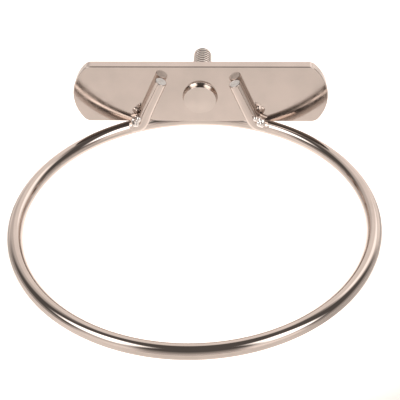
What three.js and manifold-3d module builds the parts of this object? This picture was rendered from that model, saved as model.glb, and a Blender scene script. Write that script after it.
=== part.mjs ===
// Bolt-on ring bracket: a welded wire hoop under a lozenge plate with two leaning braces, hung on one
// round-headed bolt. Millimetres. +Z is up, +Y is the bolt's axis pointing away from the hoop, +X is the
// right-hand side seen from the hoop. The origin is where the bolt's axis meets the plate's rear face.

import * as THREE from 'three';
import { mergeVertices } from 'three/addons/utils/BufferGeometryUtils.js';
import Module from 'manifold-3d';

const wasm = await Module();
wasm.setup();

// Driving dimensions
const TOUCH_GAP = 0.3;
const CONTACT_GAP = 0.15;

const HOOP = {
  centreRadius: 70,
  barRadius: 3,
  tilt: THREE.MathUtils.degToRad(3),
  barSides: 16,
  ringSteps: 84,
};

const PLATE = {
  thickness: 4,
  halfLength: 54.3,
  belowBolt: 13.2,
  aboveBolt: 15.6,
  endRadius: 20.6,
  cornerRadius: 4,
  frontRound: 0.4,
  roundSteps: 3,
  rearBevel: 1.4,
  arcSteps: 8,
  holeRadius: 4.35,
};

// Where the plate's lower front edge sits in the hoop's own plane: distance from its centre, and height
const PLATE_SEAT = { reach: 65.2, rise: 1.8 };

const BRACE = { radius: 2.6, sides: 14, steps: 36, footHandle: 6, tailHandle: 3 };

// Each brace: its top and foot on the plate (across, up), and where its tail starts and ends across the hoop
const LEFT_BRACE = { side: -1, top: [16.05, 10], foot: [22.1, -4.2], tail: [27.4, 32] };
const RIGHT_BRACE = { side: 1, top: [14.8, 9.1], foot: [19.9, -4.2], tail: [25.6, 30.2] };

// The tail lies along the inner top of the hoop's bar and sinks into it (radius, height in the hoop's plane)
const TAIL_START = { radius: 67.2, height: 1.9 };
const TAIL_END = { radius: 69.8, height: 0.2 };

// Each weld is a short row of lumps over the groove between a brace's outer side and the bar. Its two ends
// are given as distance outward from the brace's foot, place along Y, and height
const WELD = { lumpRadius: 1.5, lumps: 4, upper: [4.4, -7.2, -7.9], lower: [5.6, -9.6, -10.2], segments: 8 };

const BOLT = {
  headRadius: 7.5,
  faceRadius: 6.95,
  headHeight: 2.1,
  headEdge: 0.3,
  threadRadius: 3.97,
  lengthUnderHead: 31.75,
  tipChamfer: 0.8,
  sides: 40,
};

const FLAT_WASHER = { innerRadius: 4.35, outerRadius: 8.75, thickness: 1.6, sides: 40 };
const SPRING_WASHER = { innerRadius: 4.35, outerRadius: 7.45, thickness: 2, sides: 40, slit: 1, slant: 0.35 };
const NUT = { acrossFlats: 12.7, height: 6.75, boreRadius: 4.27, sides: 32, cornerCut: 0.8 };

// Materials
function metal(colour, roughness) {
  return new THREE.MeshStandardMaterial({ color: colour, metalness: 1, roughness });
}

const polishedSteel = metal(0xd8cdc4, 0.08);
const weldSteel = metal(0xcabfb6, 0.25);
const boltSteel = metal(0xcfc6bd, 0.12);
const platedSteel = metal(0xb9bcc0, 0.3);

// Booleans
function toSolid(geometry) {
  const bare = geometry.clone();
  bare.deleteAttribute('normal');
  bare.deleteAttribute('uv');
  const merged = mergeVertices(bare);
  const vertProperties = new Float32Array(merged.attributes.position.array);
  const triVerts = new Uint32Array(merged.index.array);
  return new wasm.Manifold(new wasm.Mesh({ numProp: 3, vertProperties, triVerts }));
}

function toGeometry(solid) {
  const mesh = solid.getMesh();
  const geometry = new THREE.BufferGeometry();
  geometry.setAttribute('position', new THREE.BufferAttribute(mesh.vertProperties, mesh.numProp));
  geometry.setIndex(new THREE.BufferAttribute(mesh.triVerts, 1));
  geometry.computeVertexNormals();
  return geometry;
}

function cut(geometry, ...cutters) {
  let solid = toSolid(geometry);
  for (const cutter of cutters) {
    solid = solid.subtract(toSolid(cutter));
  }
  return toGeometry(solid);
}

// Turned shapes: a list of [radius, along] corners revolved about the bolt's axis
function turned(corners, sides) {
  const profile = corners.map(([radius, along]) => new THREE.Vector2(radius, along));
  return new THREE.LatheGeometry(profile, sides);
}

function turnedRing(innerRadius, outerRadius, start, thickness, sides) {
  const end = start + thickness;
  const corners = [
    [innerRadius, start],
    [outerRadius, start],
    [outerRadius, end],
    [innerRadius, end],
    [innerRadius, start],
  ];
  return turned(corners, sides);
}

function boltwiseCylinder(radius, length, sides) {
  return new THREE.CylinderGeometry(radius, radius, length, sides);
}

// Hoop: a closed round-bar ring, its front tilted slightly up
const plateEdge = new THREE.Vector3(0, -PLATE.thickness, -PLATE.belowBolt);
const tiltTurn = new THREE.Matrix4().makeRotationX(-HOOP.tilt);
const edgeInHoop = new THREE.Vector3(0, PLATE_SEAT.reach, PLATE_SEAT.rise).applyMatrix4(tiltTurn);
const hoopCentre = plateEdge.clone().sub(edgeInHoop);
const hoopFrame = tiltTurn.clone().setPosition(hoopCentre);

function hoopTorus(barRadius) {
  const torus = new THREE.TorusGeometry(HOOP.centreRadius, barRadius, HOOP.barSides, HOOP.ringSteps);
  return torus.applyMatrix4(hoopFrame);
}

// The same bar grown by the gap, for trimming what is welded to it
const hoopCutter = hoopTorus(HOOP.barRadius + TOUCH_GAP);

// Back plate: flat top and bottom, round ends centred at the bolt's height, eased corners, rounded front
// edge, and a bevel along the lower rear edge where it sits on the bar
const endCentre = PLATE.halfLength - PLATE.endRadius;

// The corner's arc touches the straight edge at that height, and the end's arc in the direction join
function plateCorner(edgeHeight) {
  const up = edgeHeight - Math.sign(edgeHeight) * PLATE.cornerRadius;
  const out = Math.sqrt((PLATE.endRadius - PLATE.cornerRadius) ** 2 - up ** 2);
  return { across: endCentre + out, up, join: Math.atan2(up, out) };
}

function plateOutline(inset) {
  const end = PLATE.endRadius - inset;
  const corner = PLATE.cornerRadius - inset;
  const lower = plateCorner(-PLATE.belowBolt);
  const upper = plateCorner(PLATE.aboveBolt);
  const outline = new THREE.Shape();
  outline.absarc(lower.across, lower.up, corner, -Math.PI / 2, lower.join, false);
  outline.absarc(endCentre, 0, end, lower.join, upper.join, false);
  outline.absarc(upper.across, upper.up, corner, upper.join, Math.PI / 2, false);
  outline.absarc(-upper.across, upper.up, corner, Math.PI / 2, Math.PI - upper.join, false);
  outline.absarc(-endCentre, 0, end, Math.PI - upper.join, Math.PI - lower.join, false);
  outline.absarc(-lower.across, lower.up, corner, Math.PI - lower.join, 1.5 * Math.PI, false);
  outline.closePath();
  return outline;
}

function backPlate() {
  const round = PLATE.frontRound;
  // The outline is drawn in X and Y, raised along Z and then turned so that Z becomes the front, -Y
  const blank = new THREE.ExtrudeGeometry(plateOutline(round), {
    depth: PLATE.thickness - round,
    bevelEnabled: true,
    bevelThickness: round,
    bevelSize: round,
    bevelSegments: PLATE.roundSteps,
    curveSegments: PLATE.arcSteps,
  });
  blank.rotateX(Math.PI / 2);
  const behind = new THREE.BoxGeometry(4 * PLATE.halfLength, 2 * round, 4 * PLATE.endRadius);
  behind.translate(0, round, 0);
  const bevelSide = PLATE.rearBevel * Math.SQRT2;
  const bevel = new THREE.BoxGeometry(4 * PLATE.halfLength, bevelSide, bevelSide);
  bevel.rotateX(Math.PI / 4);
  bevel.translate(0, 0, -PLATE.belowBolt);
  const hole = boltwiseCylinder(PLATE.holeRadius, 4 * PLATE.thickness, BOLT.sides);
  return cut(blank, behind, bevel, hole, hoopCutter);
}

// Braces: straight down the plate's face, then bending outward along the hoop's inner top
function hoopPoint(across, { radius, height }) {
  const along = Math.sqrt(radius * radius - across * across);
  return new THREE.Vector3(across, along, height).applyMatrix4(hoopFrame);
}

function bracePath({ side, top, foot, tail }) {
  const depth = -PLATE.thickness - BRACE.radius - CONTACT_GAP;
  const topPoint = new THREE.Vector3(side * top[0], depth, top[1]);
  const footPoint = new THREE.Vector3(side * foot[0], depth, foot[1]);
  const tailPoint = hoopPoint(side * tail[0], TAIL_START);
  const endPoint = hoopPoint(side * tail[1], TAIL_END);
  const down = footPoint.clone().sub(topPoint).normalize();
  const out = endPoint.clone().sub(tailPoint).normalize();
  const bendStart = footPoint.clone().addScaledVector(down, BRACE.footHandle);
  const bendEnd = tailPoint.clone().addScaledVector(out, -BRACE.tailHandle);
  const path = new THREE.CurvePath();
  path.add(new THREE.LineCurve3(topPoint, footPoint));
  path.add(new THREE.CubicBezierCurve3(footPoint, bendStart, bendEnd, tailPoint));
  path.add(new THREE.LineCurve3(tailPoint, endPoint));
  return path;
}

function braceRod(brace, radius) {
  const section = new THREE.Shape();
  section.absarc(0, 0, radius, 0, 2 * Math.PI, false);
  // An arc is drawn with two chords to each curve segment
  return new THREE.ExtrudeGeometry(section, {
    extrudePath: bracePath(brace),
    steps: BRACE.steps,
    curveSegments: BRACE.sides / 2,
    bevelEnabled: false,
  });
}

// Welds: lumps run together over the groove beside each brace's foot, trimmed where they meet the bar
function weldLumps(brace, radius) {
  const place = ([out, front, up]) => new THREE.Vector3(brace.side * (brace.foot[0] + out), front, up);
  const upper = place(WELD.upper);
  const lower = place(WELD.lower);
  let solid = null;
  for (let lump = 0; lump < WELD.lumps; lump += 1) {
    const centre = upper.clone().lerp(lower, lump / (WELD.lumps - 1));
    const ball = new THREE.SphereGeometry(radius, WELD.segments, WELD.segments);
    ball.translate(centre.x, centre.y, centre.z);
    solid = solid ? solid.add(toSolid(ball)) : toSolid(ball);
  }
  return solid;
}

function weldGeometry(brace) {
  return toGeometry(weldLumps(brace, WELD.lumpRadius).subtract(toSolid(hoopCutter)));
}

// The brace is relieved where its weld bites into it and where its tail sinks into the bar
function braceGeometry(brace) {
  const rod = toSolid(braceRod(brace, BRACE.radius));
  const weldCutter = weldLumps(brace, WELD.lumpRadius + TOUCH_GAP);
  return toGeometry(rod.subtract(toSolid(hoopCutter)).subtract(weldCutter));
}

// Bolt: a flat, slightly tapered disc head with no drive, and a plain shank of the thread's outer size
function boltGeometry() {
  const seat = -PLATE.thickness - TOUCH_GAP;
  const face = seat - BOLT.headHeight;
  const tip = seat + BOLT.lengthUnderHead;
  const corners = [
    [0, face],
    [BOLT.faceRadius - BOLT.headEdge, face],
    [BOLT.faceRadius, face + BOLT.headEdge],
    [BOLT.headRadius, seat],
    [BOLT.threadRadius, seat],
    [BOLT.threadRadius, tip - BOLT.tipChamfer],
    [BOLT.threadRadius - BOLT.tipChamfer, tip],
    [0, tip],
  ];
  return turned(corners, BOLT.sides);
}

// Fastening behind the plate: flat washer, split spring washer, hexagon nut
const flatWasherStart = TOUCH_GAP;
const springWasherStart = flatWasherStart + FLAT_WASHER.thickness + TOUCH_GAP;
const nutStart = springWasherStart + SPRING_WASHER.thickness + TOUCH_GAP;

function flatWasherGeometry() {
  const { innerRadius, outerRadius, thickness, sides } = FLAT_WASHER;
  return turnedRing(innerRadius, outerRadius, flatWasherStart, thickness, sides);
}

function springWasherGeometry() {
  const { innerRadius, outerRadius, thickness, sides, slit, slant } = SPRING_WASHER;
  const ring = turnedRing(innerRadius, outerRadius, springWasherStart, thickness, sides);
  const slot = new THREE.BoxGeometry(slit, 3 * thickness, 2 * outerRadius);
  slot.rotateZ(slant);
  slot.translate(0, springWasherStart + thickness / 2, -1.2 * outerRadius);
  return cut(ring, slot);
}

function nutGeometry() {
  const cornerRadius = NUT.acrossFlats / Math.sqrt(3);
  const hexagon = new THREE.CylinderGeometry(cornerRadius, cornerRadius, NUT.height, 6);
  hexagon.rotateY(Math.PI / 6);
  hexagon.translate(0, nutStart + NUT.height / 2, 0);
  const end = nutStart + NUT.height;
  const faceRadius = cornerRadius - NUT.cornerCut;
  const slope = NUT.cornerCut * Math.tan(Math.PI / 6);
  const envelope = turned([
    [0, nutStart],
    [faceRadius, nutStart],
    [cornerRadius, nutStart + slope],
    [cornerRadius, end - slope],
    [faceRadius, end],
    [0, end],
  ], NUT.sides);
  const bore = boltwiseCylinder(NUT.boreRadius, 4 * end, NUT.sides);
  return toGeometry(toSolid(hexagon).intersect(toSolid(envelope)).subtract(toSolid(bore)));
}

// Assembly
const bracket = new THREE.Group();
bracket.name = 'ring_bracket';

function addPiece(name, geometry, material) {
  const mesh = new THREE.Mesh(geometry, material);
  mesh.name = name;
  bracket.add(mesh);
}

addPiece('hoop', hoopTorus(HOOP.barRadius), polishedSteel);
addPiece('back_plate', backPlate(), polishedSteel);
addPiece('left_brace', braceGeometry(LEFT_BRACE), polishedSteel);
addPiece('right_brace', braceGeometry(RIGHT_BRACE), polishedSteel);
addPiece('left_weld', weldGeometry(LEFT_BRACE), weldSteel);
addPiece('right_weld', weldGeometry(RIGHT_BRACE), weldSteel);
addPiece('pivot_bolt', boltGeometry(), boltSteel);
addPiece('flat_washer', flatWasherGeometry(), platedSteel);
addPiece('spring_washer', springWasherGeometry(), platedSteel);
addPiece('hex_nut', nutGeometry(), platedSteel);

export default bracket;
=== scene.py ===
"""Looks of the bolt-on ring bracket, built around the CAD frame. Metres; +Z up, +Y along the bolt."""

import math

import bmesh
import bpy
from mathutils import Matrix, Vector, noise


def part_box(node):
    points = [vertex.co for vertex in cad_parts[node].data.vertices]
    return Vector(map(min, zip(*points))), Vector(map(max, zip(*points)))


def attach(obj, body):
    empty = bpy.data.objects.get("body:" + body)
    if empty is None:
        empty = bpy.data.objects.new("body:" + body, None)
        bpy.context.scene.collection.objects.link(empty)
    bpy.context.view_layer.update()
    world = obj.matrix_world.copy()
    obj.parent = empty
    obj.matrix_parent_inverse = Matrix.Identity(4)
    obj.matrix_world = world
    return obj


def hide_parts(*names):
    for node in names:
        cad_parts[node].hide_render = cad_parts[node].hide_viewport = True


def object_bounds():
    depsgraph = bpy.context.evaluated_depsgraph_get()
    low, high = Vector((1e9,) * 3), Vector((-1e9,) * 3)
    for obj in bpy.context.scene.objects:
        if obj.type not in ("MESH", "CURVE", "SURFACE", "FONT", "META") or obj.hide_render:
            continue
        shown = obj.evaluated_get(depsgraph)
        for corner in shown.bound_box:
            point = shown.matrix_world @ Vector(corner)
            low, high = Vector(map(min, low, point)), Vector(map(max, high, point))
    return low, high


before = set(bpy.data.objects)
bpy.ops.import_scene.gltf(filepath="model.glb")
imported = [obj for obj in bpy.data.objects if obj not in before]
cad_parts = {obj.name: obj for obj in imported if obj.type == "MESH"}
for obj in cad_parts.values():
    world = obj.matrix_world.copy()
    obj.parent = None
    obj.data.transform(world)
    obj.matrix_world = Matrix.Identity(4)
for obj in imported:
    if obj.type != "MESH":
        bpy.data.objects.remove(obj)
cad_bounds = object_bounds()

MM = 0.001
FULL_TURN = 2 * math.pi

# Sizes, in millimetres
BAR_RADIUS = 3.0
PLATE_END_RADIUS = 20.6
PLATE_CORNER_RADIUS = 4.0
PLATE_FRONT_ROUND = 0.4
PLATE_REAR_EASE = 0.2
PLATE_REAR_BEVEL = 1.4
PLATE_HOLE_RADIUS = 4.35
BRACE_RADIUS = 2.6
BRACE_END_BEVEL = 0.35
BRACE_END_DOME = 0.10
WELD_VOXEL = 0.1
WELD_WOBBLE = 0.08
HEAD_FACE_RADIUS = 6.95
HEAD_EDGE_ROUND = 0.22
HEAD_RIM_EASE = 0.05
HEAD_RIM_HEIGHT = 0.12
HEAD_SEAT_GAP = 0.02
AXIS_RING_RADIUS = 0.02
THREAD_PITCH = 25.4 / 18
THREAD_MAJOR = 3.97
THREAD_DEPTH = 0.78
TIP_CHAMFER = 0.9
WASHER_BORE_RADIUS = 4.35
FLAT_WASHER_EDGE = 0.2
SPRING_WASHER_EDGE = 0.18
SPRING_WASHER_LIFT = 0.05
NUT_ACROSS_FLATS = 12.7
NUT_BORE_RADIUS = 4.06
NUT_BORE_EASE = 0.5

# Shares of the whole
THREAD_CREST = 0.28
THREAD_ROOT = 0.12
NUT_FACE = 0.97
BRACE_CUT_RINGS = (0.1, 0.3, 0.5, 0.7, 0.86, 0.96)

# Points around each round part
BAR_SIDES = 56
THREAD_SIDES = 72
HOLE_SIDES = 96
TURNED_SIDES = 128

# Each brace in millimetres: top and foot on the plate (across, up), tail's start and end across the hoop
LEFT_BRACE = {"side": -1, "top": (16.05, 10.0), "foot": (22.1, -4.2), "tail": (27.4, 31.0)}
RIGHT_BRACE = {"side": 1, "top": (14.8, 9.1), "foot": (19.9, -4.2), "tail": (25.6, 29.2)}

# Both braces' tails in the hoop's own plane, in millimetres: (radius, height) where they start and end
TAIL_START = (68.0, 1.4)
TAIL_END = (69.9, 0.1)
FOOT_HANDLE = 6.0
TAIL_HANDLE = 3.0

# Weld lumps in millimetres: distance outward from the brace's foot, place along Y, height, radius
LEFT_LUMPS = [
    (4.2, -8.7, -8.3, 1.35),
    (5.1, -9.2, -9.3, 1.3),
    (5.2, -9.9, -10.4, 1.2),
    (6.5, -7.8, -10.0, 1.5),
    (6.1, -9.3, -10.8, 1.4),
    (5.4, -6.2, -9.5, 1.3),
]
RIGHT_LUMPS = [
    (3.7, -8.8, -7.9, 1.35),
    (5.1, -8.3, -8.8, 1.3),
    (6.7, -8.2, -9.9, 1.35),
    (5.3, -9.5, -10.1, 1.4),
    (6.5, -8.9, -11.0, 1.5),
    (5.1, -7.0, -9.3, 1.4),
]


# Meshes ------------------------------------------------------------------------------------------

def make_piece(name, points, faces, material, sharp_degrees=35):
    """A smooth-shaded mesh object from points in millimetres."""
    mesh = bpy.data.meshes.new(name)
    mesh.from_pydata([Vector(p) * MM for p in points], [], faces)
    work = bmesh.new()
    work.from_mesh(mesh)
    bmesh.ops.recalc_face_normals(work, faces=work.faces)
    work.to_mesh(mesh)
    work.free()
    for polygon in mesh.polygons:
        polygon.use_smooth = True
    mesh.set_sharp_from_angle(angle=math.radians(sharp_degrees))
    mesh.materials.append(material)
    piece = bpy.data.objects.new(name, mesh)
    bpy.context.scene.collection.objects.link(piece)
    return piece


def stand_in(piece, node, body):
    """The piece rides on the body and stands for the CAD node, which it hides."""
    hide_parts(node)
    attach(piece, body)


def loft(rings, closed_along=False):
    """Points and faces of a surface through rings of equal length; an open row gets its two end faces."""
    sides = len(rings[0])
    points = [point for ring in rings for point in ring]
    faces = []
    spans = len(rings) if closed_along else len(rings) - 1
    for i in range(spans):
        j = (i + 1) % len(rings)
        for k in range(sides):
            m = (k + 1) % sides
            faces.append((i * sides + k, i * sides + m, j * sides + m, j * sides + k))
    if not closed_along:
        last = (len(rings) - 1) * sides
        faces.append(tuple(range(sides)))
        faces.append(tuple(last + k for k in range(sides)))
    return points, faces


def about_bolt(radius, turn, along):
    """A point given by its distance from the bolt's axis, its turn from straight up and its place along."""
    return (radius * math.sin(turn), along, radius * math.cos(turn))


def turned_rings(profile, sides):
    """Rings about the bolt's axis from (radius, along) pairs."""
    turns = [FULL_TURN * k / sides for k in range(sides)]
    return [[about_bolt(radius, turn, along) for turn in turns] for radius, along in profile]


def quarter(centre, radius, start_degrees, steps=6):
    """Points of a quarter circle in (radius, along) space, turning from start_degrees by 90."""
    turns = [math.radians(start_degrees + 90 * i / steps) for i in range(steps + 1)]
    return [(centre[0] + radius * math.cos(turn), centre[1] + radius * math.sin(turn)) for turn in turns]


def trim(piece, cutter):
    """Cuts the cutter out of the piece and removes the cutter."""
    cutting = piece.modifiers.new("trim", "BOOLEAN")
    cutting.operation = "DIFFERENCE"
    cutting.solver = "EXACT"
    cutting.object = cutter
    apply_modifiers(piece)
    bpy.data.objects.remove(cutter)


def apply_modifiers(piece):
    """Replaces the piece's mesh by what its modifiers make of it."""
    depsgraph = bpy.context.evaluated_depsgraph_get()
    mesh = bpy.data.meshes.new_from_object(piece.evaluated_get(depsgraph))
    piece.modifiers.clear()
    old = piece.data
    piece.data = mesh
    bpy.data.meshes.remove(old)


# Places from the frame ---------------------------------------------------------------------------

def box_mm(node):
    low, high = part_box(node)
    return low / MM, high / MM


hoop_low, hoop_high = box_mm("hoop")
plate_low, plate_high = box_mm("back_plate")
bolt_low, bolt_high = box_mm("pivot_bolt")
hoop_centre = (hoop_low + hoop_high) / 2
hoop_radius = (hoop_high.x - hoop_low.x) / 2 - BAR_RADIUS
hoop_tilt = math.asin((hoop_high.z - hoop_low.z - 2 * BAR_RADIUS) / (2 * hoop_radius))
hoop_frame = Matrix.Translation(hoop_centre) @ Matrix.Rotation(-hoop_tilt, 4, "X")


def hoop_point(across, radius, height):
    """A point given in the hoop's own plane, towards the plate."""
    along = math.sqrt(radius * radius - across * across)
    return hoop_frame @ Vector((across, along, height))


# Materials ---------------------------------------------------------------------------------------

class Shader:
    """A node material under construction."""

    def __init__(self, name):
        self.material = bpy.data.materials.new(name)
        self.material.use_nodes = True
        self.tree = self.material.node_tree
        self.bsdf = self.tree.nodes["Principled BSDF"]
        self.place = self.node("ShaderNodeTexCoord").outputs["Object"]

    def node(self, kind, **settings):
        made = self.tree.nodes.new(kind)
        for key, value in settings.items():
            setattr(made, key, value)
        return made

    def link(self, source, target):
        self.tree.links.new(source, target)

    def stretched(self, scale):
        mapping = self.node("ShaderNodeMapping")
        mapping.inputs["Scale"].default_value = scale
        self.link(self.place, mapping.inputs["Vector"])
        return mapping.outputs["Vector"]

    def noise(self, scale, detail=2.0, place=None):
        texture = self.node("ShaderNodeTexNoise")
        texture.inputs["Scale"].default_value = scale
        texture.inputs["Detail"].default_value = detail
        self.link(place or self.place, texture.inputs["Vector"])
        return texture.outputs["Fac"]

    def spread(self, value, low, high, to_low=0.0, to_high=1.0):
        mapped = self.node("ShaderNodeMapRange")
        mapped.inputs["From Min"].default_value = low
        mapped.inputs["From Max"].default_value = high
        mapped.inputs["To Min"].default_value = to_low
        mapped.inputs["To Max"].default_value = to_high
        self.link(value, mapped.inputs["Value"])
        return mapped.outputs["Result"]

    def tint(self, value, dark, light):
        mix = self.node("ShaderNodeMix", data_type="RGBA")
        mix.inputs["A"].default_value = (*dark, 1)
        mix.inputs["B"].default_value = (*light, 1)
        self.link(value, mix.inputs["Factor"])
        self.link(mix.outputs["Result"], self.bsdf.inputs["Base Color"])

    def roughness(self, value):
        self.link(value, self.bsdf.inputs["Roughness"])

    def bump(self, height, distance_mm, after=None):
        bump = self.node("ShaderNodeBump")
        bump.inputs["Distance"].default_value = distance_mm * MM
        bump.inputs["Strength"].default_value = 1.0
        self.link(height, bump.inputs["Height"])
        if after:
            self.link(after, bump.inputs["Normal"])
        return bump.outputs["Normal"]

    def finish(self, normal, metallic=1.0):
        self.bsdf.inputs["Metallic"].default_value = metallic
        self.link(normal, self.bsdf.inputs["Normal"])
        return self.material


def pitting(shader, depth_mm, after):
    """Small round pits, gathered in a few patches."""
    cells = shader.node("ShaderNodeTexVoronoi", feature="F1")
    cells.inputs["Scale"].default_value = 420
    shader.link(shader.place, cells.inputs["Vector"])
    hollow = shader.spread(cells.outputs["Distance"], 0.10, 0.22)
    sound = shader.node("ShaderNodeMath", operation="SUBTRACT")
    sound.inputs[0].default_value = 1.0
    shader.link(shader.spread(shader.noise(160, 1), 0.62, 0.66), sound.inputs[1])
    height = shader.node("ShaderNodeMath", operation="MAXIMUM")
    shader.link(hollow, height.inputs[0])
    shader.link(sound.outputs["Value"], height.inputs[1])
    return shader.bump(height.outputs["Value"], depth_mm, after=after)


def polished_steel(name, dark, light, roughness, ripple_mm=0.004, polish_mm=0.0004, pits_mm=0.0):
    """Bright polished steel: faint colour drift, duller smears, slow ripples and fine polishing marks."""
    shader = Shader(name)
    drift = shader.noise(90, 3)
    shader.tint(shader.spread(drift, 0.35, 0.65), dark, light)
    smear = shader.noise(240, 4, shader.stretched((1, 0.35, 1)))
    shader.roughness(shader.spread(smear, 0.3, 0.75, roughness * 0.7, roughness * 1.5))
    ripple = shader.bump(shader.noise(75, 1), ripple_mm)
    marks = shader.noise(2600, 2, shader.stretched((1, 1, 0.12)))
    normal = shader.bump(marks, polish_mm, after=ripple)
    if pits_mm:
        normal = pitting(shader, pits_mm, after=normal)
    return shader.finish(normal)


def sheared_finish():
    """Steel left matt and pale by the shears, with fine tears."""
    shader = Shader("sheared_steel")
    torn = shader.noise(900, 4, shader.stretched((1, 1, 0.3)))
    shader.tint(shader.spread(torn, 0.35, 0.65), (0.84, 0.80, 0.77), (0.97, 0.95, 0.93))
    shader.roughness(shader.spread(torn, 0.3, 0.7, 0.25, 0.45))
    return shader.finish(shader.bump(torn, 0.02), metallic=0.1)


def thread_painted_light_finish():
    """Steel thread with painted light: crests painted bright as a highlight, flanks and roots painted dark
    as shade.
    """
    shader = Shader("thread_painted_light_steel")
    painted_shade_radius = THREAD_MAJOR - 0.32
    painted_highlight_radius = THREAD_MAJOR - 0.12
    parts = shader.node("ShaderNodeSeparateXYZ")
    shader.link(shader.place, parts.inputs["Vector"])
    outward = shader.node("ShaderNodeCombineXYZ")
    shader.link(parts.outputs["X"], outward.inputs["X"])
    shader.link(parts.outputs["Z"], outward.inputs["Z"])
    reach = shader.node("ShaderNodeVectorMath", operation="LENGTH")
    shader.link(outward.outputs["Vector"], reach.inputs[0])
    # Painted light: the colour is painted dark as shade towards the roots and painted bright as a highlight
    # on the crests.
    painted_light_by_reach = shader.spread(reach.outputs["Value"], painted_shade_radius * MM, painted_highlight_radius * MM)
    shader.tint(painted_light_by_reach, (0.05, 0.043, 0.038), (0.88, 0.83, 0.79))
    shader.roughness(shader.spread(shader.noise(700, 3), 0.3, 0.7, 0.05, 0.12))
    return shader.finish(shader.bump(shader.noise(2600, 2), 0.0006))


WARM_DARK = (0.560, 0.490, 0.448)
WARM_LIGHT = (0.605, 0.526, 0.482)

plate_steel = polished_steel("plate_steel", WARM_DARK, WARM_LIGHT, 0.11, ripple_mm=0.003)
brace_steel = polished_steel("brace_steel", WARM_DARK, WARM_LIGHT, 0.08, pits_mm=0.05)
sheared_steel = sheared_finish()
head_steel = polished_steel("head_steel", (0.570, 0.505, 0.462), (0.620, 0.545, 0.500), 0.07)
# Thread colour with painted shade in the roots and flanks and a painted highlight on the crests.
thread_painted_light_steel = thread_painted_light_finish()
weld_steel = polished_steel("weld_steel", (0.76, 0.71, 0.68), (0.88, 0.83, 0.80), 0.14, ripple_mm=0.003)
plated_steel = polished_steel("plated_steel", (0.60, 0.61, 0.62), (0.70, 0.71, 0.72), 0.24, polish_mm=0.001)
hoop_steel = polished_steel("hoop_steel", WARM_DARK, WARM_LIGHT, 0.06)


# Hoop --------------------------------------------------------------------------------------------

def build_hoop():
    steps = 480
    rings = []
    for i in range(steps):
        turn = FULL_TURN * i / steps
        ring = []
        for k in range(BAR_SIDES):
            lean = FULL_TURN * k / BAR_SIDES
            reach = hoop_radius + BAR_RADIUS * math.cos(lean)
            local = Vector((reach * math.sin(turn), reach * math.cos(turn), BAR_RADIUS * math.sin(lean)))
            ring.append(hoop_frame @ local)
        rings.append(ring)
    points, faces = loft(rings, closed_along=True)
    piece = make_piece("hoop_bar", points, faces, hoop_steel)
    stand_in(piece, "hoop", "bracket")


# Back plate --------------------------------------------------------------------------------------

def arc(centre, radius, start, end, steps):
    """Points of a circle's arc, its end left out."""
    turns = [start + (end - start) * i / steps for i in range(steps)]
    return [(centre[0] + radius * math.cos(turn), centre[1] + radius * math.sin(turn)) for turn in turns]


def plate_outline(inset):
    """The plate's outline, drawn in by inset: straight edges, eased corners and round ends."""
    end_centre = plate_high.x - PLATE_END_RADIUS
    radius = PLATE_END_RADIUS - inset
    corner = PLATE_CORNER_RADIUS - inset
    corners = []
    for edge in (plate_low.z, plate_high.z):
        up = edge - math.copysign(PLATE_CORNER_RADIUS, edge)
        out = math.sqrt((PLATE_END_RADIUS - PLATE_CORNER_RADIUS) ** 2 - up * up)
        corners.append((end_centre + out, up, math.atan2(up, out)))
    lower, upper = corners
    corner_steps = 10
    end_steps = 44
    edge_steps = 60
    right = arc(lower[:2], corner, -math.pi / 2, lower[2], corner_steps)
    right += arc((end_centre, 0), radius, lower[2], upper[2], end_steps)
    right += arc(upper[:2], corner, upper[2], math.pi / 2, corner_steps)
    top = (upper[0], upper[1] + corner)
    outline = right + [(top[0] * (1 - 2 * i / edge_steps), top[1]) for i in range(edge_steps)]
    left = [(-x, z) for x, z in reversed(right)]
    bottom = left[-1]
    outline += [(-top[0], top[1])] + left
    outline += [(bottom[0] * (1 - 2 * i / edge_steps), bottom[1]) for i in range(1, edge_steps)]
    return outline


def bolt_hole_cutter():
    reach = 2 * plate_low.y
    profile = [(PLATE_HOLE_RADIUS, reach), (PLATE_HOLE_RADIUS, -reach)]
    return make_piece("cutter", *loft(turned_rings(profile, HOLE_SIDES)), plate_steel)


def rear_bevel_cutter():
    """A square bar on its corner, its axis on the plate's lower rear edge."""
    bevel = PLATE_REAR_BEVEL
    reach = 2 * plate_high.x
    corners = [(bevel, 0), (0, bevel), (-bevel, 0), (0, -bevel)]
    bars = [[(x, plate_high.y + y, plate_low.z + z) for y, z in corners] for x in (-reach, reach)]
    return make_piece("cutter", *loft(bars), plate_steel)


def build_plate():
    layers = [(plate_high.y, PLATE_REAR_EASE), (plate_high.y - PLATE_REAR_EASE, 0.0)]
    round_steps = 8
    for i in range(round_steps + 1):
        turn = math.pi / 2 * i / round_steps
        depth = plate_low.y + PLATE_FRONT_ROUND * (1 - math.sin(turn))
        layers.append((depth, PLATE_FRONT_ROUND * (1 - math.cos(turn))))
    rings = [[(x, depth, z) for x, z in plate_outline(inset)] for depth, inset in layers]
    points, faces = loft(rings)
    plate = make_piece("plate_body", points, faces, plate_steel)
    trim(plate, rear_bevel_cutter())
    trim(plate, bolt_hole_cutter())
    for polygon in plate.data.polygons:
        polygon.use_smooth = True
    plate.data.set_sharp_from_angle(angle=math.radians(30))
    weighted = plate.modifiers.new("flat_faces", "WEIGHTED_NORMAL")
    weighted.keep_sharp = True
    stand_in(plate, "back_plate", "bracket")


# Braces ------------------------------------------------------------------------------------------

def bezier(a, b, c, d, steps):
    """Points of a cubic curve, its start left out."""
    return [
        a * (1 - t) ** 3 + 3 * b * t * (1 - t) ** 2 + 3 * c * t * t * (1 - t) + d * t**3
        for t in (i / steps for i in range(1, steps + 1))
    ]


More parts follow.
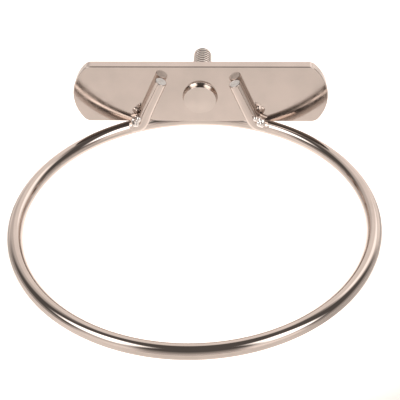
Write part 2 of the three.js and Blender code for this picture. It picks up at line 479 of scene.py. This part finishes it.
def brace_path(brace):
    """Straight down the plate's face, then bending outward and sinking into the hoop's bar."""
    side = brace["side"]
    depth = plate_low.y - BRACE_RADIUS
    top = Vector((side * brace["top"][0], depth, brace["top"][1]))
    foot = Vector((side * brace["foot"][0], depth, brace["foot"][1]))
    tail = hoop_point(side * brace["tail"][0], *TAIL_START)
    end = hoop_point(side * brace["tail"][1], *TAIL_END)
    down = (foot - top).normalized()
    out = (end - tail).normalized()
    straight_steps = 40
    bend_steps = 60
    tail_steps = 30
    path = [top.lerp(foot, i / straight_steps) for i in range(straight_steps + 1)]
    path += bezier(foot, foot + down * FOOT_HANDLE, tail - out * TAIL_HANDLE, tail, bend_steps)
    path += [tail.lerp(end, i / tail_steps) for i in range(1, tail_steps + 1)]
    return path


def swept_rings(path, radii):
    """Round sections carried along the path without twist."""
    tangent = (path[1] - path[0]).normalized()
    across = tangent.orthogonal().normalized()
    rings = []
    for i, centre in enumerate(path):
        ahead = path[min(i + 1, len(path) - 1)]
        behind = path[max(i - 1, 0)]
        new_tangent = (ahead - behind).normalized()
        across = tangent.rotation_difference(new_tangent) @ across
        tangent = new_tangent
        up = tangent.cross(across)
        turns = [FULL_TURN * k / BAR_SIDES for k in range(BAR_SIDES)]
        spokes = [math.cos(turn) * across + math.sin(turn) * up for turn in turns]
        rings.append([centre + radii[i] * spoke for spoke in spokes])
    return rings


def brace_end(top, down):
    """Centres and radii of the rings over the cut end: a shallow dome, then a small round edge."""
    face_radius = BRACE_RADIUS - BRACE_END_BEVEL
    centres = []
    radii = []
    for share in BRACE_CUT_RINGS:
        centres.append(top - down * BRACE_END_DOME * (1 - share * share))
        radii.append(face_radius * share)
    edge_steps = 5
    for i in range(edge_steps + 1):
        turn = math.pi / 2 * i / edge_steps
        centres.append(top + down * BRACE_END_BEVEL * (1 - math.cos(turn)))
        radii.append(face_radius + BRACE_END_BEVEL * math.sin(turn))
    return centres, radii


def build_brace(name, node, brace):
    path = brace_path(brace)
    top = path[0]
    down = (path[1] - top).normalized()
    end_path, end_radii = brace_end(top, down)
    path = end_path + path[2:]
    radii = end_radii + [BRACE_RADIUS] * (len(path) - len(end_path))
    points, faces = loft(swept_rings(path, radii))
    piece = make_piece(name, points, faces, brace_steel, sharp_degrees=50)
    piece.data.materials.append(sheared_steel)
    cut_faces = len(BRACE_CUT_RINGS) * BAR_SIDES
    for polygon in piece.data.polygons:
        is_end = len(polygon.vertices) > 4
        if polygon.index < cut_faces or is_end:
            polygon.material_index = 1
    stand_in(piece, node, "bracket")


# Welds -------------------------------------------------------------------------------------------

def build_weld(name, node, brace, lumps):
    """Molten lumps run together: spheres fused by a fine remesh, then slightly uneven."""
    settling_steps = 220
    wobbles_per_mm = 0.5
    work = bmesh.new()
    for out, depth, height, radius in lumps:
        centre = Vector((brace["side"] * (brace["foot"][0] + out), depth, height)) * MM
        place = Matrix.Translation(centre)
        bmesh.ops.create_icosphere(work, subdivisions=3, radius=radius * MM, matrix=place)
    mesh = bpy.data.meshes.new(name)
    work.to_mesh(mesh)
    work.free()
    mesh.materials.append(weld_steel)
    piece = bpy.data.objects.new(name, mesh)
    bpy.context.scene.collection.objects.link(piece)
    remesh = piece.modifiers.new("fuse", "REMESH")
    remesh.mode = "VOXEL"
    remesh.voxel_size = WELD_VOXEL * MM
    smooth = piece.modifiers.new("settle", "SMOOTH")
    smooth.iterations = settling_steps
    apply_modifiers(piece)
    for vertex in piece.data.vertices:
        wobble = noise.noise(vertex.co / MM * wobbles_per_mm)
        vertex.co += vertex.normal * wobble * WELD_WOBBLE * MM
    for polygon in piece.data.polygons:
        polygon.use_smooth = True
    stand_in(piece, node, "bracket")


# Bolt --------------------------------------------------------------------------------------------

def thread_depth_at(fraction):
    """Depth below the crest at a fraction of the pitch: flat crest, flank, flat root, flank."""
    flank = (1 - THREAD_CREST - THREAD_ROOT) / 2
    if fraction < THREAD_CREST:
        return 0.0
    if fraction < THREAD_CREST + flank:
        return THREAD_DEPTH * (fraction - THREAD_CREST) / flank
    if fraction < 1 - flank:
        return THREAD_DEPTH
    return THREAD_DEPTH * (1 - fraction) / flank


def build_bolt_head():
    face = bolt_low.y
    seat = plate_low.y - HEAD_SEAT_GAP
    radius = bolt_high.x
    edge = HEAD_EDGE_ROUND
    profile = [(AXIS_RING_RADIUS, face), (HEAD_FACE_RADIUS - edge, face)]
    profile += quarter((HEAD_FACE_RADIUS - edge, face + edge), edge, -90)[1:]
    profile += [
        (radius - HEAD_RIM_EASE, seat - HEAD_RIM_HEIGHT),
        (radius, seat - HEAD_RIM_HEIGHT / 2),
        (radius - HEAD_RIM_EASE, seat),
        (THREAD_MAJOR, seat),
    ]
    points, faces = loft(turned_rings(profile, TURNED_SIDES))
    piece = make_piece("bolt_head", points, faces, head_steel)
    stand_in(piece, "pivot_bolt", "bolt")


def build_bolt_shank():
    """The threaded shank; it rides on the bolt beside the head, which stands for the whole CAD bolt."""
    rows_per_turn = 16
    start = plate_low.y
    tip = bolt_high.y
    count = int((tip - start) / THREAD_PITCH * rows_per_turn)
    rings = []
    for i in range(count + 1):
        along = start + (tip - start) * i / count
        limit = THREAD_MAJOR - max(0.0, TIP_CHAMFER - (tip - along))
        ring = []
        for k in range(THREAD_SIDES):
            fraction = (along / THREAD_PITCH - k / THREAD_SIDES) % 1.0
            radius = min(THREAD_MAJOR - thread_depth_at(fraction), limit)
            ring.append(about_bolt(radius, FULL_TURN * k / THREAD_SIDES, along))
        rings.append(ring)
    points, faces = loft(rings)
    piece = make_piece("bolt_thread", points, faces, thread_painted_light_steel, sharp_degrees=28)
    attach(piece, "bolt")


# Washers and nut ---------------------------------------------------------------------------------

def rounded_ring_profile(inner, outer, start, end, edge):
    """A rectangular section with rounded corners, closed on itself."""
    corner_steps = 4
    profile = quarter((outer - edge, start + edge), edge, -90, corner_steps)
    profile += quarter((outer - edge, end - edge), edge, 0, corner_steps)
    profile += quarter((inner + edge, end - edge), edge, 90, corner_steps)
    profile += quarter((inner + edge, start + edge), edge, 180, corner_steps)
    return profile


def build_flat_washer():
    low, high = box_mm("flat_washer")
    profile = rounded_ring_profile(WASHER_BORE_RADIUS, high.x, low.y, high.y, FLAT_WASHER_EDGE)
    points, faces = loft(turned_rings(profile, TURNED_SIDES), closed_along=True)
    piece = make_piece("washer_flat", points, faces, plated_steel)
    stand_in(piece, "flat_washer", "washers")


def build_spring_washer():
    """A split ring whose two cut ends lean and stand slightly apart along the bolt. Angles in radians."""
    low, high = box_mm("spring_washer")
    lift = SPRING_WASHER_LIFT
    ends = (low.y + lift, high.y - lift)
    section = rounded_ring_profile(WASHER_BORE_RADIUS, high.x, *ends, SPRING_WASHER_EDGE)
    steps = 120
    half_gap = 0.075
    lean = 0.16
    middle = (low.y + high.y) / 2
    rings = []
    for i in range(steps + 1):
        share = i / steps
        nearness_to_end = abs(2 * share - 1)
        ring = []
        for radius, along in section:
            slant = lean * (along - middle) / (high.y - low.y) * nearness_to_end
            turn = math.pi + half_gap + slant + (FULL_TURN - 2 * half_gap) * share
            ring.append(about_bolt(radius, turn, along + lift * (2 * share - 1)))
        rings.append(ring)
    points, faces = loft(rings)
    piece = make_piece("washer_spring", points, faces, plated_steel)
    stand_in(piece, "spring_washer", "washers")


def hexagon_radius(turn):
    """Distance from the axis to the hexagon's side; its flats face up and down."""
    sector = math.pi / 3
    return NUT_ACROSS_FLATS / 2 / math.cos((turn + sector / 2) % sector - sector / 2)


def build_nut():
    low, high = box_mm("hex_nut")
    sides = 240
    chamfer_steps = 12
    corner = NUT_ACROSS_FLATS / math.sqrt(3)
    face_radius = NUT_ACROSS_FLATS / 2 * NUT_FACE
    slope = math.tan(math.radians(30))
    depth = (corner - face_radius) * slope

    def row(along):
        cone = face_radius + min(along - low.y, high.y - along) / slope
        turns = [FULL_TURN * k / sides for k in range(sides)]
        return [about_bolt(min(cone, hexagon_radius(turn)), turn, along) for turn in turns]

    rings = [row(low.y + depth * i / chamfer_steps) for i in range(chamfer_steps + 1)]
    rings += [row(high.y - depth * i / chamfer_steps) for i in range(chamfer_steps, -1, -1)]
    bore = [
        (NUT_BORE_RADIUS + NUT_BORE_EASE, high.y),
        (NUT_BORE_RADIUS, high.y - NUT_BORE_EASE),
        (NUT_BORE_RADIUS, low.y + NUT_BORE_EASE),
        (NUT_BORE_RADIUS + NUT_BORE_EASE, low.y),
    ]
    rings += turned_rings(bore, sides)
    points, faces = loft(rings, closed_along=True)
    piece = make_piece("nut_hex", points, faces, plated_steel, sharp_degrees=25)
    stand_in(piece, "hex_nut", "nut")


build_hoop()
build_plate()
build_brace("brace_left", "left_brace", LEFT_BRACE)
build_brace("brace_right", "right_brace", RIGHT_BRACE)
build_weld("weld_left", "left_weld", LEFT_BRACE, LEFT_LUMPS)
build_weld("weld_right", "right_weld", RIGHT_BRACE, RIGHT_LUMPS)
build_bolt_head()
build_bolt_shank()
build_flat_washer()
build_spring_washer()
build_nut()


# Studio ------------------------------------------------------------------------------------------

# Metres
FLOOR_DROP = 0.12
FLOOR_RADIUS = 1.4
OBJECT_MIDDLE = Vector((0.0, -0.06, -0.01))

# Colours of light
GLOW_WARM = (1.0, 0.915, 0.86)
PANEL_WHITE = (1.0, 0.985, 0.965)
ROOM_WARM = (1.0, 0.925, 0.875)


def direction(azimuth, elevation):
    """Unit vector from degrees: azimuth turns from the front, -Y, towards +X; elevation rises from level."""
    across = math.cos(math.radians(elevation))
    x = across * math.sin(math.radians(azimuth))
    y = -across * math.cos(math.radians(azimuth))
    return Vector((x, y, math.sin(math.radians(elevation))))


class Surroundings:
    """Light by its direction from the object: soft-edged panels at azimuths and elevations in degrees.

    The front azimuth turns from -Y towards +X, the rear azimuth from +Y towards +X.
    """

    def __init__(self, tree, towards):
        self.tree = tree
        parts = self.node("ShaderNodeSeparateXYZ")
        self.tree.links.new(self.vector("NORMALIZE", towards), parts.inputs["Vector"])
        x, y, z = (parts.outputs[axis] for axis in "XYZ")
        self.front_azimuth = self.degrees(self.math("ARCTAN2", x, self.math("MULTIPLY", y, -1.0)))
        self.rear_azimuth = self.degrees(self.math("ARCTAN2", x, y))
        self.elevation = self.degrees(self.math("ARCSINE", z))
        self.light = None

    def node(self, kind):
        return self.tree.nodes.new(kind)

    def math(self, operation, first, second=None):
        made = self.node("ShaderNodeMath")
        made.operation = operation
        for socket, value in zip(made.inputs, (first, second)):
            if isinstance(value, float):
                socket.default_value = value
            elif value is not None:
                self.tree.links.new(value, socket)
        return made.outputs["Value"]

    def degrees(self, radians):
        return self.math("DEGREES", radians)

    def vector(self, operation, *sources):
        made = self.node("ShaderNodeVectorMath")
        made.operation = operation
        for socket, source in zip(made.inputs, sources):
            if isinstance(source, bpy.types.NodeSocket):
                self.tree.links.new(source, socket)
            else:
                socket.default_value = source
        return made.outputs["Vector"]

    def rise(self, value, start, end):
        """0 before start, 1 after end, smooth between; start may lie after end."""
        made = self.node("ShaderNodeMapRange")
        made.interpolation_type = "SMOOTHSTEP"
        made.inputs["From Min"].default_value = start
        made.inputs["From Max"].default_value = end
        self.tree.links.new(value, made.inputs["Value"])
        return made.outputs["Result"]

    def window(self, value, edges):
        """1 between the two middle edges, fading to 0 at the outer two."""
        up = self.rise(value, edges[0], edges[1])
        down = self.rise(value, edges[3], edges[2])
        return self.math("MULTIPLY", up, down)

    def add(self, colour, radiance, share):
        tinted = self.node("ShaderNodeVectorMath")
        tinted.operation = "SCALE"
        tinted.inputs[0].default_value = [channel * radiance for channel in colour]
        self.tree.links.new(share, tinted.inputs["Scale"])
        made = tinted.outputs["Vector"]
        self.light = made if self.light is None else self.vector("ADD", self.light, made)

    def panel(self, colour, radiance, azimuths, elevations, behind=False):
        around = self.rear_azimuth if behind else self.front_azimuth
        wide = self.window(around, azimuths)
        high = self.window(self.elevation, elevations)
        self.add(colour, radiance, self.math("MULTIPLY", wide, high))


def build_floor():
    """A pale table that glows a little, more strongly below and behind the object."""
    sides = 96
    radius = FLOOR_RADIUS / MM
    level = (cad_bounds[0][2] - FLOOR_DROP) / MM
    turns = [FULL_TURN * k / sides for k in range(sides)]
    ring = [(radius * math.cos(turn), radius * math.sin(turn), level) for turn in turns]

    shader = Shader("studio_floor")
    shader.bsdf.inputs["Roughness"].default_value = 0.9
    shader.tint(shader.noise(3, 2), (0.69, 0.67, 0.65), (0.71, 0.69, 0.67))
    from_object = shader.node("ShaderNodeVectorMath", operation="SUBTRACT")
    shader.link(shader.place, from_object.inputs[0])
    from_object.inputs[1].default_value = OBJECT_MIDDLE
    glow = Surroundings(shader.tree, from_object.outputs["Vector"])
    # Everywhere, then straight below
    glow.add(GLOW_WARM, 0.12, glow.rise(glow.elevation, 0, -2))
    glow.add(GLOW_WARM, 0.45, glow.rise(glow.elevation, -42, -64))
    # Front: broad, and a little more on the left
    glow.panel(GLOW_WARM, 0.35, (-118, -92, 42, 75), (-64, -48, -2, 0))
    glow.panel(GLOW_WARM, 0.15, (-90, -62, -42, -22), (-50, -34, -2, 0))
    # Behind: the backdrop, and a brighter band further out
    glow.panel(GLOW_WARM, 0.54, (-92, -68, 68, 92), (-91, -90, -36, -20), behind=True)
    glow.panel(GLOW_WARM, 0.65, (-45, -25, 25, 45), (-50, -30, -2, 0), behind=True)
    shader.link(glow.light, shader.bsdf.inputs["Emission Color"])
    shader.bsdf.inputs["Emission Strength"].default_value = 1.0
    make_piece("studio_floor", ring, [tuple(range(sides))], shader.material)


def build_sky():
    """A dim room, lighter near the horizon: soft lights in front on both sides, a pale wall behind."""
    world = bpy.data.worlds.new("studio")
    bpy.context.scene.world = world
    world.use_nodes = True
    place = world.node_tree.nodes.new("ShaderNodeTexCoord")
    sky = Surroundings(world.node_tree, place.outputs["Generated"])
    # Everywhere, then towards the horizon
    sky.add(ROOM_WARM, 0.13, sky.rise(sky.elevation, -91, -90))
    sky.add(ROOM_WARM, 0.46, sky.rise(sky.elevation, 22, 0))
    # Walls: front, left and right
    sky.panel(ROOM_WARM, 0.28, (-60, -30, 30, 60), (-4, 6, 24, 44))
    sky.panel(ROOM_WARM, 0.68, (-72, -56, -36, -22), (-12, -4, 22, 38))
    sky.panel(ROOM_WARM, 0.78, (22, 36, 56, 70), (-12, -4, 20, 36))
    # Soft lights: left and right
    sky.panel(PANEL_WHITE, 3.4, (-96, -80, -54, -30), (26, 42, 62, 74))
    sky.panel(PANEL_WHITE, 3.4, (32, 54, 70, 84), (18, 36, 54, 68))
    # Rear wall, its lighter middle and a weak light on its right
    sky.panel(ROOM_WARM, 0.66, (-62, -38, 42, 64), (-12, -2, 46, 60), behind=True)
    sky.panel(ROOM_WARM, 0.36, (-30, -14, 46, 62), (2, 12, 48, 58), behind=True)
    sky.panel(PANEL_WHITE, 0.7, (14, 24, 40, 52), (24, 30, 46, 54), behind=True)
    world.node_tree.links.new(sky.light, world.node_tree.nodes["Background"].inputs["Color"])


def build_camera():
    """Angles in degrees, distance and target in metres, lens and sensor in millimetres."""
    azimuth = 3.725
    elevation = 42.08
    roll = -2.119
    distance = 0.4758
    target = Vector((0.00177, -0.0567, -0.011585))
    camera = bpy.data.cameras.new("camera")
    camera.sensor_width = 36.0
    camera.lens = 107.06
    camera.clip_start = 0.001
    holder = bpy.data.objects.new("camera", camera)
    bpy.context.scene.collection.objects.link(holder)
    back = direction(azimuth, elevation)
    turn = back.to_track_quat("Z", "Y").to_matrix() @ Matrix.Rotation(math.radians(roll), 3, "Z")
    holder.matrix_world = Matrix.Translation(target + back * distance) @ turn.to_4x4()
    bpy.context.scene.camera = holder


build_floor()
build_sky()
build_camera()
bpy.context.scene.view_settings.view_transform = "Standard"
